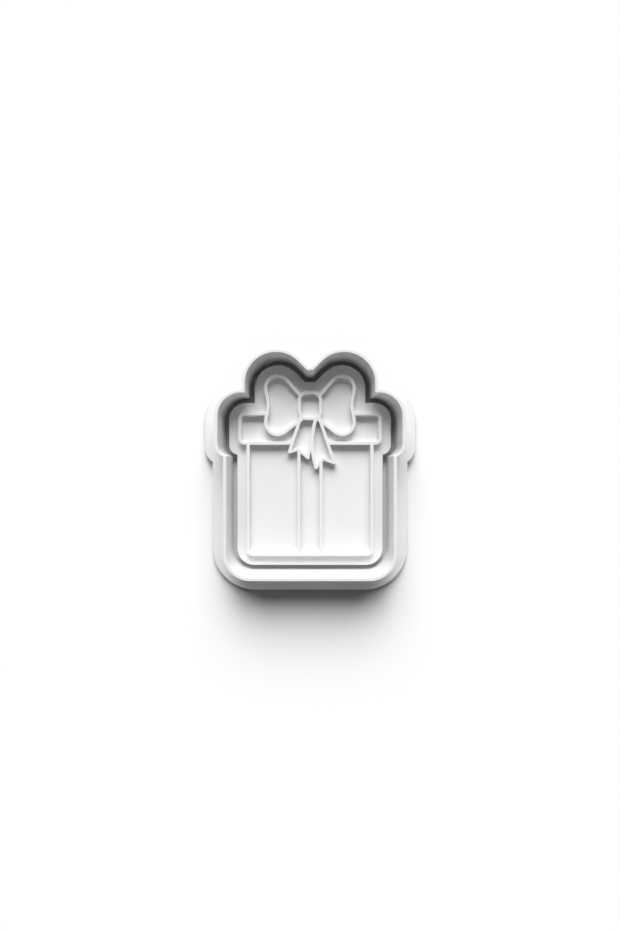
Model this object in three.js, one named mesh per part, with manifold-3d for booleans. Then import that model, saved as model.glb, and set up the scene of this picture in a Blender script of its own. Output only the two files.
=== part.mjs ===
// Cookie cutter with a loose stamp, both in the shape of a gift box tied with a bow.
// Units are millimetres, with +Z up. The cutter stands on its flange with the blade up, and the
// stamp lies inside it with its picture up. The origin is on the table, in the middle of the flange.
import * as THREE from 'three';
import { mergeVertices } from 'three/addons/utils/BufferGeometryUtils.js';
import Module from 'manifold-3d';

// Cutter
const bladeHeight = 13; // table to cutting edge
const bladeThickness = 1.2; // at the cutting edge
const bladeDraft = 0.3; // how much thicker the blade is at its root, on the outside
const flangeWidth = 6.2; // outside the cutting edge
const flangeThickness = 2.5;
const flangeChamfer = 0.4; // on the flange's two outer edges
const rootFillet = 1.2; // between the blade and the flange, on the outside

// Stamp
const plateThickness = 3.5;
const plateChamfer = 0.3; // on the plate's lower edge
const plateMargin = 3.7; // plate outside the picture's lines
const stampClearance = 2; // between the plate and the blade, a little less at the shoulders
const lineHeight = 2.4; // raised above the plate
const lineWidth = 1.2;

// Picture, measured to the middle of its lines and upwards from the foot of the box
const boxWidth = 44.4;
const boxHeight = 39.9; // foot of the box to foot of the lid
const boxCorner = 1.8; // radius
const lidOverhang = 3; // on each side of the box
const lidHeight = 10.5;
const lidCorner = 1.8; // radius
const ribbonWidth = 7.9;
const knotRise = 3; // middle of the knot above the top of the lid
const knotWidth = 7.6;
const knotHeight = 9.3;
const knotCorner = 2.7; // radius

// Shoulders, where the outline steps in from the lid to the box
const shoulderRadius = 2.4; // before the outline is grown outwards
const shoulderSwell = 0.3; // how much of the growth goes into that radius
const shoulderDrop = 0.1; // how much of it lowers the shoulder

// Each loop of the bow is an upper and a lower round joined by a waist, placed from the knot's middle
const upperLoop = { x: 11.6, rise: 6.5, radius: 4.3 };
const lowerLoop = { x: 11.6, rise: -6.1, radius: 4.3 };
const waistDepth = 0.9; // how far the waist is drawn in
const upperSpring = 0.2; // where a loop's lines start behind the knot, above and below its middle,
const lowerSpring = 0.44; // as shares of the knot's height
const notchSlope = Math.PI / 4; // slope of a loop's upper line down to the knot
const lowerSlope = 0.67; // slope of its lower line up to the knot

// Ends of the bow, placed from the middle of the knot's foot
const leftTail = {
  outerTop: new THREE.Vector2(-3.1, 1.2),
  outerTip: new THREE.Vector2(-7.4, -12),
  notch: new THREE.Vector2(-4.3, -11),
  innerTip: new THREE.Vector2(-0.7, -14.1),
  innerTop: new THREE.Vector2(2.2, 1.2),
};
const rightTail = {
  innerTop: new THREE.Vector2(2.5, 1.2),
  innerBend: new THREE.Vector2(-0.8, -8.5),
  innerTip: new THREE.Vector2(2.1, -17.7),
  notch: new THREE.Vector2(4.8, -14.4),
  outerTip: new THREE.Vector2(8.7, -15.9),
  outerTop: new THREE.Vector2(3, 1.2),
};

// Fineness of round stretches
const outlineDivisions = 12; // half the steps in a large corner
const lineDivisions = 5; // half the steps in a bend of the picture's lines
const capSteps = 6; // steps round the end of a line
const filletSteps = 4;
const overlap = 0.5; // how far joined pieces reach into each other before they are united
const samePlace = 1e-4; // points nearer than this are one
const straightness = 0.01; // a bend smaller than this is left out of an outline

// Distances from the picture's outline to the edges that follow it
const plateGrow = lineWidth / 2 + plateMargin;
const bladeInnerGrow = plateGrow + stampClearance;
const bladeGrow = bladeInnerGrow + bladeThickness;
const rootGrow = bladeGrow + bladeDraft;
const flangeGrow = bladeGrow + flangeWidth;

// Places in the picture
const lidWidth = boxWidth + 2 * lidOverhang;
const lidFoot = boxHeight;
const lidTop = lidFoot + lidHeight;
const knotMiddle = lidTop + knotRise;
const knotFoot = knotMiddle - knotHeight / 2;
const knotTop = knotMiddle + knotHeight / 2;
const upperY = knotMiddle + upperLoop.rise;
const lowerY = knotMiddle + lowerLoop.rise;
const bowTop = upperY + upperLoop.radius;
const lineTop = plateThickness + lineHeight;

const wasm = await Module();
wasm.setup();

const rightAngle = Math.PI / 2;

// Turns a closed geometry into a solid that can be joined and cut.
function solidFrom(geometry) {
  const bare = geometry.clone();
  bare.deleteAttribute('normal');
  bare.deleteAttribute('uv');
  const merged = mergeVertices(bare, 1e-4);
  return new wasm.Manifold(new wasm.Mesh({
    numProp: 3,
    vertProperties: new Float32Array(merged.attributes.position.array),
    triVerts: new Uint32Array(merged.index.array),
  }));
}

function geometryFrom(solid) {
  const mesh = solid.getMesh();
  const geometry = new THREE.BufferGeometry();
  geometry.setAttribute('position', new THREE.BufferAttribute(mesh.vertProperties, 3));
  geometry.setIndex(new THREE.BufferAttribute(mesh.triVerts, 1));
  geometry.computeVertexNormals();
  return geometry;
}

function union(solids) {
  return solids.reduce((whole, solid) => whole.add(solid));
}

// Skins a stack of outlines, each an anticlockwise ring of equally many points at its own height.
function loft(levels) {
  const count = levels[0].outline.length;
  const positions = levels.flatMap(({ outline, z }) => outline.flatMap((p) => [p.x, p.y, z]));
  const index = [];
  for (let level = 0; level < levels.length - 1; level++) {
    for (let i = 0; i < count; i++) {
      const a = level * count + i;
      const b = level * count + ((i + 1) % count);
      index.push(a, b, b + count, a, b + count, a + count);
    }
  }
  const last = (levels.length - 1) * count;
  for (const [a, b, c] of THREE.ShapeUtils.triangulateShape(levels[0].outline, [])) {
    index.push(c, b, a);
  }
  for (const [a, b, c] of THREE.ShapeUtils.triangulateShape(levels.at(-1).outline, [])) {
    index.push(last + a, last + b, last + c);
  }
  const geometry = new THREE.BufferGeometry();
  geometry.setAttribute('position', new THREE.Float32BufferAttribute(positions, 3));
  geometry.setIndex(index);
  return solidFrom(geometry);
}

// The forms that make up the outline, each grown outwards by the same distance.
function boxOutline(grow) {
  const radius = boxCorner + grow;
  const side = boxWidth / 2 - boxCorner;
  const top = lidFoot + lidHeight / 2;
  const shape = new THREE.Shape();
  shape.absarc(-side, boxCorner, radius, Math.PI, 3 * rightAngle, false);
  shape.absarc(side, boxCorner, radius, 3 * rightAngle, 4 * rightAngle, false);
  shape.lineTo(side + radius, top);
  shape.lineTo(-side - radius, top);
  return shape.getPoints(outlineDivisions);
}

function lidOutline(grow) {
  const radius = lidCorner + grow;
  const side = lidWidth / 2 - lidCorner;
  const lower = shoulderRadius + shoulderSwell * grow;
  const lowerSide = lidWidth / 2 + grow - lower;
  const lowerLevel = lidFoot - shoulderDrop * grow;
  const shape = new THREE.Shape();
  shape.absarc(-lowerSide, lowerLevel, lower, Math.PI, 3 * rightAngle, false);
  shape.absarc(lowerSide, lowerLevel, lower, 3 * rightAngle, 4 * rightAngle, false);
  shape.absarc(side, lidTop - lidCorner, radius, 0, rightAngle, false);
  shape.absarc(-side, lidTop - lidCorner, radius, rightAngle, Math.PI, false);
  return shape.getPoints(outlineDivisions);
}

// A loop's upper round, with its outline sloping from there down behind the knot.
function rightLoopOutline(grow) {
  const radius = upperLoop.radius + grow;
  const foot = lidFoot + lidHeight / 2;
  const slopeTop = new THREE.Vector2(
    upperLoop.x - radius * Math.sin(notchSlope),
    upperY + radius * Math.cos(notchSlope),
  );
  const shape = new THREE.Shape();
  shape.moveTo(slopeTop.x - (slopeTop.y - foot) / Math.tan(notchSlope), foot);
  shape.lineTo(upperLoop.x + radius, foot);
  shape.absarc(upperLoop.x, upperY, radius, 0, rightAngle + notchSlope, false);
  return shape.getPoints(outlineDivisions);
}

function leftLoopOutline(grow) {
  return rightLoopOutline(grow).map((p) => new THREE.Vector2(-p.x, p.y)).reverse();
}

function knotOutline(grow) {
  const radius = knotCorner + grow;
  const side = knotWidth / 2 - knotCorner;
  const foot = lidFoot + lidHeight / 2;
  const shape = new THREE.Shape();
  shape.moveTo(-side - radius, foot);
  shape.lineTo(side + radius, foot);
  shape.absarc(side, knotTop - knotCorner, radius, 0, rightAngle, false);
  shape.absarc(-side, knotTop - knotCorner, radius, rightAngle, Math.PI, false);
  return shape.getPoints(outlineDivisions);
}

// A solid that follows the picture's outline: a profile of distances from it, one at each height.
function outlineSolid(profile) {
  const forms = [boxOutline, lidOutline, leftLoopOutline, rightLoopOutline, knotOutline];
  return union(forms.map((outlineAt) =>
    loft(profile.map(({ grow, z }) => ({ outline: outlineAt(grow), z })))));
}

// Fillet from the flange's top into the blade's outer face.
function filletProfile() {
  const steps = [];
  for (let i = 0; i <= filletSteps; i++) {
    const angle = (i / filletSteps) * rightAngle;
    steps.push({
      grow: rootGrow + rootFillet * (1 - Math.sin(angle)),
      z: flangeThickness + rootFillet * (1 - Math.cos(angle)),
    });
  }
  return steps;
}

function makeCutter() {
  const outside = outlineSolid([
    { grow: flangeGrow - flangeChamfer, z: 0 },
    { grow: flangeGrow, z: flangeChamfer },
    { grow: flangeGrow, z: flangeThickness - flangeChamfer },
    { grow: flangeGrow - flangeChamfer, z: flangeThickness },
    ...filletProfile(),
    { grow: bladeGrow, z: bladeHeight },
  ]);
  const inside = outlineSolid([
    { grow: bladeInnerGrow, z: -overlap },
    { grow: bladeInnerGrow, z: bladeHeight + overlap },
  ]);
  return outside.subtract(inside);
}

// Points along a path, without the repeats where its stretches meet.
function pointsAlong(path) {
  const points = path.getPoints(lineDivisions);
  return points.filter((p, i) => i === 0 || p.distanceTo(points[i - 1]) > samePlace);
}

// A raised line along a path, with round ends.
function lineSolid(path) {
  const half = lineWidth / 2;
  const points = pointsAlong(path);
  const along = points.map((p, i) => {
    const before = points[Math.max(i - 1, 0)];
    const after = points[Math.min(i + 1, points.length - 1)];
    const back = p.clone().sub(before).normalize();
    const ahead = after.clone().sub(p).normalize();
    return back.add(ahead).normalize();
  });
  // The offset at a bend is lengthened so that the line keeps its width.
  const sideOf = (sign) => points.map((p, i) => {
    const next = points[Math.min(i + 1, points.length - 1)];
    const last = points[Math.max(i - 1, 0)];
    const ahead = (i + 1 < points.length ? next.clone().sub(p) : p.clone().sub(last)).normalize();
    const reach = half / along[i].dot(ahead);
    return new THREE.Vector2(p.x - sign * along[i].y * reach, p.y + sign * along[i].x * reach);
  });
  const cap = (centre, direction) => {
    const start = direction.angle() - rightAngle;
    return Array.from({ length: capSteps - 1 }, (_, i) => {
      const angle = start + ((i + 1) / capSteps) * Math.PI;
      return new THREE.Vector2(centre.x + half * Math.cos(angle), centre.y + half * Math.sin(angle));
    });
  };
  const outline = [
    ...sideOf(-1),
    ...cap(points.at(-1), along.at(-1)),
    ...sideOf(1).reverse(),
    ...cap(points[0], along[0].clone().negate()),
  ];
  return loft([{ outline, z: plateThickness - overlap }, { outline, z: lineTop }]);
}

// A block over the space between paths drawn end to end, which hides the lines that pass behind it.
function maskSolid(...paths) {
  const outline = paths.flatMap((path, i) => pointsAlong(path).slice(i ? 1 : 0));
  if (outline[0].distanceTo(outline.at(-1)) < samePlace) outline.pop();
  if (THREE.ShapeUtils.isClockWise(outline)) outline.reverse();
  return loft([{ outline, z: plateThickness - 2 * overlap }, { outline, z: lineTop + overlap }]);
}

function pathThrough(...points) {
  const path = new THREE.Path().moveTo(points[0].x, points[0].y);
  points.slice(1).forEach((p) => path.lineTo(p.x, p.y));
  return path;
}

function boxPath() {
  const side = boxWidth / 2;
  const path = new THREE.Path().moveTo(-side, lidFoot).lineTo(-side, boxCorner);
  path.absarc(boxCorner - side, boxCorner, boxCorner, Math.PI, 3 * rightAngle, false);
  path.absarc(side - boxCorner, boxCorner, boxCorner, 3 * rightAngle, 4 * rightAngle, false);
  return path.lineTo(side, lidFoot);
}

// One half of a rounded frame, from the middle of its top round the given side to the middle of its foot.
function halfFrame(sign, width, top, foot, radius) {
  const side = sign * (width / 2 - radius);
  const turn = (angle) => (sign > 0 ? angle : Math.PI - angle);
  const path = new THREE.Path().moveTo(0, top).lineTo(side, top);
  path.absarc(side, top - radius, radius, turn(rightAngle), turn(0), sign > 0);
  path.absarc(side, foot + radius, radius, turn(0), turn(-rightAngle), sign > 0);
  return path.lineTo(0, foot);
}

function lidPaths() {
  return [-1, 1].map((sign) => halfFrame(sign, lidWidth, lidTop, lidFoot, lidCorner));
}

function knotPaths() {
  return [-1, 1].map((sign) => halfFrame(sign, knotWidth, knotTop, knotFoot, knotCorner));
}

function ribbonPaths() {
  return [-1, 1].map((sign) => pathThrough(
    new THREE.Vector2((sign * ribbonWidth) / 2, 0),
    new THREE.Vector2((sign * ribbonWidth) / 2, lidFoot),
  ));
}

// One loop of the bow, from the knot round its upper and lower rounds and back to the knot.
function loopPath(sign) {
  const behindKnot = (sign * knotWidth) / 4;
  const turn = (angle) => (sign > 0 ? angle : Math.PI - angle);
  const clockwise = sign > 0;
  const upper = new THREE.Vector2(sign * upperLoop.x, upperY);
  const lower = new THREE.Vector2(sign * lowerLoop.x, lowerY);
  const upperSide = new THREE.Vector2(upper.x + sign * upperLoop.radius, upper.y);
  const lowerSide = new THREE.Vector2(lower.x + sign * lowerLoop.radius, lower.y);
  const waistY = (upper.y + lower.y) / 2;
  const waistX = (upperSide.x + lowerSide.x) / 2 - sign * waistDepth;
  const slopeTop = new THREE.Vector2(
    upper.x - sign * upperLoop.radius * Math.sin(notchSlope),
    upper.y + upperLoop.radius * Math.cos(notchSlope),
  );
  const path = new THREE.Path().moveTo(behindKnot, knotMiddle + upperSpring * knotHeight);
  path.lineTo(slopeTop.x, slopeTop.y);
  path.absarc(upper.x, upper.y, upperLoop.radius, turn(rightAngle + notchSlope), turn(0), clockwise);
  const aboveWaist = (upper.y + waistY) / 2;
  const belowWaist = (lower.y + waistY) / 2;
  path.bezierCurveTo(upperSide.x, aboveWaist, waistX, aboveWaist, waistX, waistY);
  path.bezierCurveTo(waistX, belowWaist, lowerSide.x, belowWaist, lowerSide.x, lower.y);
  path.absarc(lower.x, lower.y, lowerLoop.radius, turn(0), turn(-rightAngle - lowerSlope), clockwise);
  path.lineTo(behindKnot, knotMiddle - lowerSpring * knotHeight);
  return path;
}

function atKnotFoot(point) {
  return new THREE.Vector2(point.x, knotFoot + point.y);
}

// The lines of a tail, one for each edge, in order round it from the knot.
function leftTailPaths() {
  const { outerTop, outerTip, notch, innerTip, innerTop } = leftTail;
  const corners = [outerTop, outerTip, notch, innerTip, innerTop].map(atKnotFoot);
  return corners.slice(1).map((corner, i) => pathThrough(corners[i], corner));
}

function rightTailPaths() {
  const { innerTop, innerBend, innerTip, notch, outerTip, outerTop } = rightTail;
  const top = atKnotFoot(innerTop);
  const bend = atKnotFoot(innerBend);
  const tip = atKnotFoot(innerTip);
  const inner = new THREE.Path().moveTo(top.x, top.y).quadraticCurveTo(bend.x, bend.y, tip.x, tip.y);
  const corners = [innerTip, notch, outerTip, outerTop].map(atKnotFoot);
  return [inner, ...corners.slice(1).map((corner, i) => pathThrough(corners[i], corner))];
}

function makePicture() {
  const loops = [-1, 1].map(loopPath);
  const knot = knotPaths();
  const left = leftTailPaths();
  const right = rightTailPaths();
  const knotMask = union(knot.map((half) => maskSolid(half)));
  const rightMask = maskSolid(...right);
  const loopMasks = loops.map((loop) => maskSolid(loop));
  const bowMask = union([...loopMasks, knotMask, maskSolid(...left), rightMask]);
  const present = union([boxPath(), ...lidPaths(), ...ribbonPaths()].map(lineSolid)).subtract(bowMask);
  const leftLines = union(left.map(lineSolid)).subtract(rightMask).subtract(knotMask);
  const bowLines = union([...loops, ...right].map(lineSolid)).subtract(knotMask);
  return union([present, leftLines, bowLines, ...knot.map(lineSolid)]);
}

// The closed outlines of a solid's flat top, without the points that add nothing to their shape.
function topOutlines(solid, z) {
  const { vertProperties, triVerts } = solid.getMesh();
  const heightOf = (i) => vertProperties[3 * i + 2];
  const edges = new Map();
  for (let t = 0; t < triVerts.length; t += 3) {
    const corners = [0, 1, 2].map((k) => triVerts[t + k]);
    if (corners.every((i) => Math.abs(heightOf(i) - z) < samePlace)) {
      corners.forEach((from, k) => {
        const to = corners[(k + 1) % 3];
        if (!edges.delete(`${to} ${from}`)) edges.set(`${from} ${to}`, [from, to]);
      });
    }
  }
  const following = new Map(edges.values());
  const outlines = [];
  while (following.size) {
    const outline = [];
    let i = following.keys().next().value;
    while (following.has(i)) {
      outline.push(new THREE.Vector2(vertProperties[3 * i], vertProperties[3 * i + 1]));
      const next = following.get(i);
      following.delete(i);
      i = next;
    }
    outlines.push(tidied(outline));
  }
  return outlines;
}

// Leaves out, one by one, the points that lie almost on the line between their neighbours.
function tidied(outline) {
  const points = [...outline];
  let i = 0;
  while (i < points.length) {
    const before = points.at(i - 1);
    const after = points[(i + 1) % points.length];
    const nearest = new THREE.Line3(
      new THREE.Vector3(before.x, before.y, 0),
      new THREE.Vector3(after.x, after.y, 0),
    ).closestPointToPoint(new THREE.Vector3(points[i].x, points[i].y, 0), true, new THREE.Vector3());
    if (Math.hypot(points[i].x - nearest.x, points[i].y - nearest.y) < straightness) {
      points.splice(i, 1);
      i = Math.max(i - 1, 0);
    } else {
      i += 1;
    }
  }
  return points;
}

// One prism from outlines in which the clockwise ones are holes.
function prismFrom(outlines, from, to) {
  const isHole = (outline) => THREE.ShapeUtils.isClockWise(outline);
  const body = union(outlines.filter((outline) => !isHole(outline))
    .map((outline) => loft([{ outline, z: from }, { outline, z: to }])));
  return outlines.filter(isHole)
    .map((hole) => hole.toReversed())
    .map((outline) => loft([{ outline, z: from - overlap }, { outline, z: to + overlap }]))
    .reduce((rest, hole) => rest.subtract(hole), body);
}

// Moves a closed anticlockwise outline inwards by the same distance all round.
function inset(outline, distance) {
  return outline.map((p, i) => {
    const back = p.clone().sub(outline.at(i - 1)).normalize();
    const ahead = outline[(i + 1) % outline.length].clone().sub(p).normalize();
    const along = back.add(ahead).normalize();
    const reach = distance / along.dot(ahead);
    return new THREE.Vector2(p.x - along.y * reach, p.y + along.x * reach);
  });
}

function makeStamp() {
  const slab = outlineSolid([{ grow: plateGrow, z: 0 }, { grow: plateGrow, z: plateThickness }]);
  const [edge] = topOutlines(slab, plateThickness);
  const plate = loft([
    { outline: inset(edge, plateChamfer), z: 0 },
    { outline: edge, z: plateChamfer },
    { outline: edge, z: plateThickness },
  ]);
  const picture = prismFrom(topOutlines(makePicture(), lineTop), plateThickness - overlap, lineTop);
  return plate.add(picture);
}

// White printed plastic for both pieces.
function plastic() {
  return new THREE.MeshStandardMaterial({ color: 0xf1f1ef, roughness: 0.5, metalness: 0 });
}

function node(name, solid) {
  const mesh = new THREE.Mesh(geometryFrom(solid), plastic());
  mesh.name = name;
  return mesh;
}

const part = new THREE.Group();
part.add(node('cutter', makeCutter()), node('stamp', makeStamp()));
part.position.y = -bowTop / 2; // the flange reaches as far past the box's foot as past the bow's top

export default part;
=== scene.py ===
import math

import bmesh
import bpy
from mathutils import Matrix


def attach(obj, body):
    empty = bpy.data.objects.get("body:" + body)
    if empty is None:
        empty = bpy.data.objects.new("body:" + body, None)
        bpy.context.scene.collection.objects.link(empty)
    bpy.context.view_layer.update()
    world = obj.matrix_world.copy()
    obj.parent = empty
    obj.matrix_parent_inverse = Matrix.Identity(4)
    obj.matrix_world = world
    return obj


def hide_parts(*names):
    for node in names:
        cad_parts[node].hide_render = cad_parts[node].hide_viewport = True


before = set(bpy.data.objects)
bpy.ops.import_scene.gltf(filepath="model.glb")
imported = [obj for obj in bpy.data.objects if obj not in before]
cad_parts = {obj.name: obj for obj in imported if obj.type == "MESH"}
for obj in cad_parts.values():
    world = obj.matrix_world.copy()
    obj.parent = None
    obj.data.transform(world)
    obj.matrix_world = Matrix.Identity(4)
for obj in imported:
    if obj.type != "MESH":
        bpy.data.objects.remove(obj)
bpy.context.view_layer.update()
print("frame loaded:", ", ".join(sorted(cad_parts)))

mm = 0.001


def linearColour(hexText):
    # sRGB hex to the linear values that the shader sockets take
    def toLinear(c):
        return c / 12.92 if c <= 0.04045 else ((c + 0.055) / 1.055) ** 2.4
    return [toLinear(int(hexText[i:i + 2], 16) / 255) for i in (1, 3, 5)] + [1.0]


def emptyTree(owner):
    # the node tree of a material or world, without the nodes it starts with
    owner.use_nodes = True
    owner.node_tree.nodes.clear()
    return owner.node_tree


def addNode(tree, kind, settings=None, links=None):
    # settings go to the node's own fields or else to its sockets, links come from other nodes
    node = tree.nodes.new(kind)
    for name, value in (settings or {}).items():
        if isinstance(name, str) and hasattr(node, name):
            setattr(node, name, value)
        else:
            node.inputs[name].default_value = value
    for name, source in (links or {}).items():
        tree.links.new(source, node.inputs[name])
    return node


def backgroundRays(tree):
    # 1 for the rays that see the white background: the camera's, those of gloss and those through glass
    ray = addNode(tree, "ShaderNodeLightPath")
    direct = addNode(tree, "ShaderNodeMath", {"operation": "ADD"}, {
        0: ray.outputs["Is Camera Ray"], 1: ray.outputs["Is Glossy Ray"],
    })
    shown = addNode(tree, "ShaderNodeMath", {"operation": "ADD", "use_clamp": True}, {
        0: direct.outputs["Value"], 1: ray.outputs["Is Transmission Ray"],
    })
    return shown.outputs["Value"]


def addObject(name, data):
    thing = bpy.data.objects.new(name, data)
    bpy.context.collection.objects.link(thing)
    return thing


def meshFrom(bm, name):
    mesh = bpy.data.meshes.new(name)
    bm.to_mesh(mesh)
    bm.free()
    return mesh


# White PLA, printed in fused layers: matte, with a soft broad sheen and fine level lines on upright
# faces, drawn as bumps with painted shade in them
printedPla = {
    "colour": "#ececec",
    "shade": "#e9e9e9",  # patches where the filament cooled a little duller
    "patch": 12 * mm,
    "patchDetail": 4,
    "patchBlend": (0.35, 0.65),  # noise values where a patch is all shade and all colour
    "ior": 1.46,
    "roughness": (0.42, 0.56),  # glossiest and dullest patches
    "layer": 0.5 * mm,  # real layers are 0.2 mm, drawn coarser because those are too fine to show
    "layerDepth": 0.012 * mm,
    "paintedGrooveShade": 0.10,  # painted shade: how much darker the grooves between layers are painted on upright faces
    "paintedShadeRise": (0.7, 0.3),  # upward part of a face's normal where the painted shade of the lines begins and is full
    "grain": 0.4 * mm,  # pebbling of the cooled plastic
    "grainDetail": 2,
    "grainDepth": 0.002 * mm,
}
waveRepeat = 2 * math.pi / 20  # the distance at which a wave texture of scale 1 repeats


def makePrintedPla(name, p):
    material = bpy.data.materials.new(name)
    tree = emptyTree(material)
    place = addNode(tree, "ShaderNodeTexCoord").outputs["Object"]
    patches = addNode(tree, "ShaderNodeTexNoise", {
        "Scale": 1 / p["patch"], "Detail": p["patchDetail"],
    }, {"Vector": place})
    tone = addNode(tree, "ShaderNodeValToRGB", links={"Fac": patches.outputs["Fac"]})
    shades = (p["shade"], p["colour"])
    for stop, position, colour in zip(tone.color_ramp.elements, p["patchBlend"], shades):
        stop.position = position
        stop.color = linearColour(colour)
    glossiest, dullest = p["roughness"]
    dullness = addNode(tree, "ShaderNodeMapRange", {
        "From Min": p["patchBlend"][0], "From Max": p["patchBlend"][1],
        "To Min": dullest, "To Max": glossiest,
    }, {"Value": patches.outputs["Fac"]})
    layers = addNode(tree, "ShaderNodeTexWave", {
        "wave_type": "BANDS", "bands_direction": "Z", "wave_profile": "SIN",
        "Scale": waveRepeat / p["layer"],
    }, {"Vector": place})
    layerBump = addNode(tree, "ShaderNodeBump", {
        "Strength": 1.0, "Distance": p["layerDepth"],
    }, {"Height": layers.outputs["Fac"]})
    # the lines also carry painted shade, a darker tone in the grooves of upright faces, which is faded
    # out on faces that lie level
    facing = addNode(tree, "ShaderNodeNewGeometry").outputs["Normal"]
    rise = addNode(tree, "ShaderNodeSeparateXYZ", links={"Vector": facing}).outputs["Z"]
    levelness = addNode(tree, "ShaderNodeMath", {"operation": "ABSOLUTE"}, {0: rise})
    upright = addNode(tree, "ShaderNodeMapRange", {
        "From Min": p["paintedShadeRise"][0], "From Max": p["paintedShadeRise"][1],
        "To Min": 0.0, "To Max": p["paintedGrooveShade"],
    }, {"Value": levelness.outputs["Value"]})
    paintedShadeLoss = addNode(tree, "ShaderNodeMath", {"operation": "MULTIPLY"}, {
        0: layers.outputs["Fac"], 1: upright.outputs["Result"],
    })
    left = addNode(tree, "ShaderNodeMath", {"operation": "SUBTRACT", 0: 1.0}, {
        1: paintedShadeLoss.outputs["Value"],
    })
    # painted shade: the tone is darkened along the layer lines of upright faces
    paintedShadeTone = addNode(tree, "ShaderNodeHueSaturation", links={
        "Color": tone.outputs["Color"], "Value": left.outputs["Value"],
    })
    grain = addNode(tree, "ShaderNodeTexNoise", {
        "Scale": 1 / p["grain"], "Detail": p["grainDetail"],
    }, {"Vector": place})
    grainBump = addNode(tree, "ShaderNodeBump", {
        "Strength": 1.0, "Distance": p["grainDepth"],
    }, {"Height": grain.outputs["Fac"], "Normal": layerBump.outputs["Normal"]})
    shader = addNode(tree, "ShaderNodeBsdfPrincipled", {"IOR": p["ior"]}, {
        "Base Color": paintedShadeTone.outputs["Color"],
        "Roughness": dullness.outputs["Result"],
        "Normal": grainBump.outputs["Normal"],
    })
    addNode(tree, "ShaderNodeOutputMaterial", links={"Surface": shader.outputs["BSDF"]})
    return material


# Pieces: each is a merged copy of its solid with its sharp outer edges rounded, as a nozzle leaves them
cutterPiece = {
    "node": "cutter", "slot": "cutter_plastic",
    "merge": 0.05 * mm, "edgeRound": 0.16 * mm, "roundSteps": 3,
}
stampPiece = {
    "node": "stamp", "slot": "stamp_plastic",
    "merge": 0.05 * mm, "edgeRound": 0.16 * mm, "roundSteps": 3,
}
flatAngle = math.radians(1)  # faces that meet at less than this become one
sharpAngle = math.radians(35)  # edges that turn by more than this are rounded, or stay sharp inside


def roundedCopy(name, p):
    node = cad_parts[p["node"]]
    bm = bmesh.new()
    bm.from_mesh(node.data)
    bm.transform(node.matrix_world)
    bmesh.ops.remove_doubles(bm, verts=bm.verts, dist=p["merge"])
    bmesh.ops.dissolve_degenerate(bm, edges=bm.edges, dist=p["merge"])
    bmesh.ops.dissolve_limit(bm, angle_limit=flatAngle, verts=bm.verts, edges=bm.edges)
    outer = [
        e for e in bm.edges
        if e.is_manifold and e.is_convex and e.calc_face_angle() > sharpAngle
    ]
    bmesh.ops.bevel(
        bm, geom=outer, offset=p["edgeRound"], offset_type="OFFSET", segments=p["roundSteps"],
        profile=0.5, affect="EDGES", material=-1, clamp_overlap=False)
    for face in bm.faces:
        face.smooth = True
    for edge in bm.edges:
        edge.smooth = not edge.is_manifold or edge.calc_face_angle() < sharpAngle
    piece = addObject(name, meshFrom(bm, name))
    flats = piece.modifiers.new("keepFlatsFlat", "WEIGHTED_NORMAL")
    flats.keep_sharp = True
    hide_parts(p["node"])
    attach(piece, p["node"])
    print(name, "has", len(piece.data.polygons), "faces")
    return piece


cutterBody = roundedCopy("cutterBody", cutterPiece)
stampBody = roundedCopy("stampBody", stampPiece)
whitePla = makePrintedPla("whitePrintedPla", printedPla)
for piece in (cutterBody, stampBody):
    piece.data.materials.append(whitePla)
print("pieces ready")


# Floor: a white laminate table, matte and even. What is seen of it is shaded as if it leaned towards the
# window, which keeps the lit part white and the shadow deep, and shade is painted darker on it in the
# narrow gap round the stamp and close beside the flange, wherever ambient occlusion finds the object
# close by
tableTop = {
    "size": 4.0,
    "drop": 0.05 * mm,
    "colour": "#e7e7e7",  # what it gives back to the object
    "seen": "#e3e3e3",
    # painted shade: the darker colour the seen floor is given in the gap and beside the flange
    "paintedGapShade": "#dadada",
    "paintedShadeReach": 14 * mm,
    "paintedShadeSamples": 16,
    "lean": 60,  # degrees
}


def makeFloor(p):
    bm = bmesh.new()
    bmesh.ops.create_grid(bm, x_segments=1, y_segments=1, size=p["size"] / 2)
    bmesh.ops.translate(bm, verts=bm.verts, vec=(0, 0, -p["drop"]))
    floor = addObject("tableTop", meshFrom(bm, "tableTop"))
    material = bpy.data.materials.new("whiteLaminate")
    tree = emptyTree(material)
    openness = addNode(tree, "ShaderNodeAmbientOcclusion", {
        "samples": p["paintedShadeSamples"], "Distance": p["paintedShadeReach"],
    })
    # painted shade: the seen floor's colour darkens with ambient occlusion near the object
    tone = addNode(tree, "ShaderNodeValToRGB", links={"Fac": openness.outputs["AO"]})
    for stop, colour in zip(tone.color_ramp.elements, (p["paintedGapShade"], p["seen"])):
        stop.color = linearColour(colour)
    lean = math.radians(p["lean"])
    facing = addNode(tree, "ShaderNodeCombineXYZ", {"Y": math.sin(lean), "Z": math.cos(lean)})
    seen = addNode(tree, "ShaderNodeBsdfDiffuse", links={
        "Color": tone.outputs["Color"], "Normal": facing.outputs["Vector"],
    })
    lighting = addNode(tree, "ShaderNodeBsdfDiffuse", {"Color": linearColour(p["colour"])})
    mix = addNode(tree, "ShaderNodeMixShader", links={
        0: backgroundRays(tree), 1: lighting.outputs["BSDF"], 2: seen.outputs["BSDF"],
    })
    addNode(tree, "ShaderNodeOutputMaterial", links={"Surface": mix.outputs["Shader"]})
    floor.data.materials.append(material)


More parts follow.
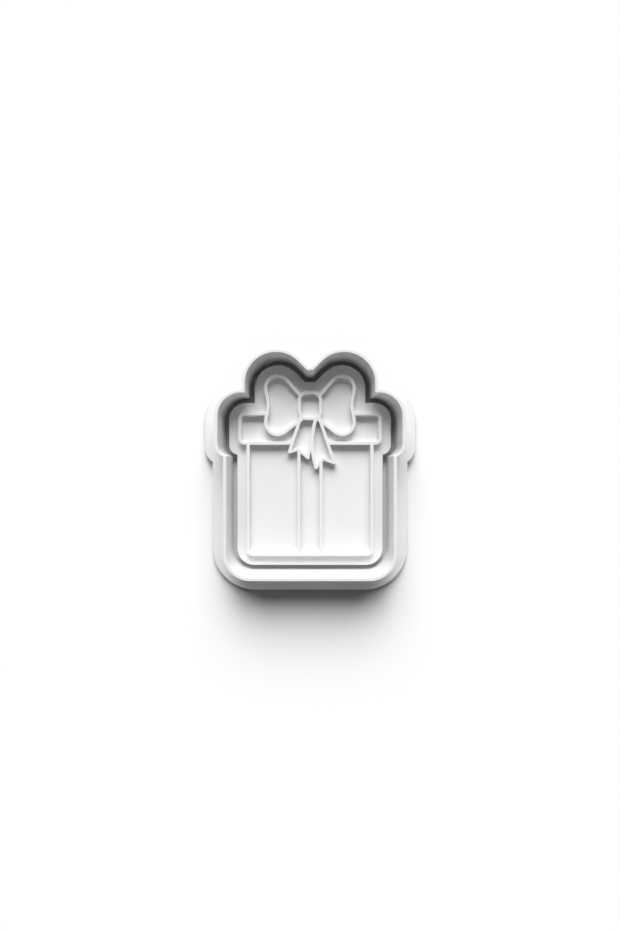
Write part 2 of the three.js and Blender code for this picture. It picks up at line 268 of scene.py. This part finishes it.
# Light: a broad soft window of two panes beyond the bow, and a little light from all round, least from
# straight above, where the camera is in its way. Angles are in degrees
windowLight = {"elevation": 32.8, "apart": 24, "spread": 40, "paneStrength": 2.41}
roomLight = {"colour": "#ffffff", "horizon": 0.46, "zenith": 0.0, "seen": 1.0}


def makeLights(window, room):
    tilt = math.radians(window["elevation"])
    for name, side in (("leftPane", 1), ("rightPane", -1)):
        lamp = bpy.data.lights.new(name, "SUN")
        lamp.angle = math.radians(window["spread"])
        lamp.energy = window["paneStrength"]
        turn = side * math.radians(window["apart"] / 2)
        addObject(name, lamp).rotation_euler = (tilt - math.pi / 2, 0, turn)
    world = bpy.data.worlds.new("room")
    bpy.context.scene.world = world
    tree = emptyTree(world)
    white = linearColour(room["colour"])
    towards = addNode(tree, "ShaderNodeTexCoord").outputs["Generated"]
    height = addNode(tree, "ShaderNodeSeparateXYZ", links={"Vector": towards}).outputs["Z"]
    level = addNode(tree, "ShaderNodeMapRange", {
        "To Min": room["horizon"], "To Max": room["zenith"],
    }, {"Value": height})
    lighting = addNode(tree, "ShaderNodeBackground", {"Color": white}, {
        "Strength": level.outputs["Result"],
    })
    seen = addNode(tree, "ShaderNodeBackground", {"Color": white, "Strength": room["seen"]})
    mix = addNode(tree, "ShaderNodeMixShader", links={
        0: backgroundRays(tree), 1: lighting.outputs["Background"], 2: seen.outputs["Background"],
    })
    addNode(tree, "ShaderNodeOutputWorld", links={"Surface": mix.outputs["Shader"]})


# Camera: straight above, as close as the photograph's steep perspective says
overhead = {"height": 146 * mm, "lens": 15.135, "sensor": 36, "nearClip": 5 * mm}


def makeCamera(p):
    camera = bpy.data.cameras.new("overhead")
    camera.lens = p["lens"]
    camera.sensor_width = p["sensor"]
    camera.clip_start = p["nearClip"]
    holder = addObject("overhead", camera)
    holder.location = (0, 0, p["height"])
    bpy.context.scene.camera = holder


makeFloor(tableTop)
makeLights(windowLight, roomLight)
makeCamera(overhead)
bpy.context.scene.view_settings.view_transform = "Standard"
print("stage ready")
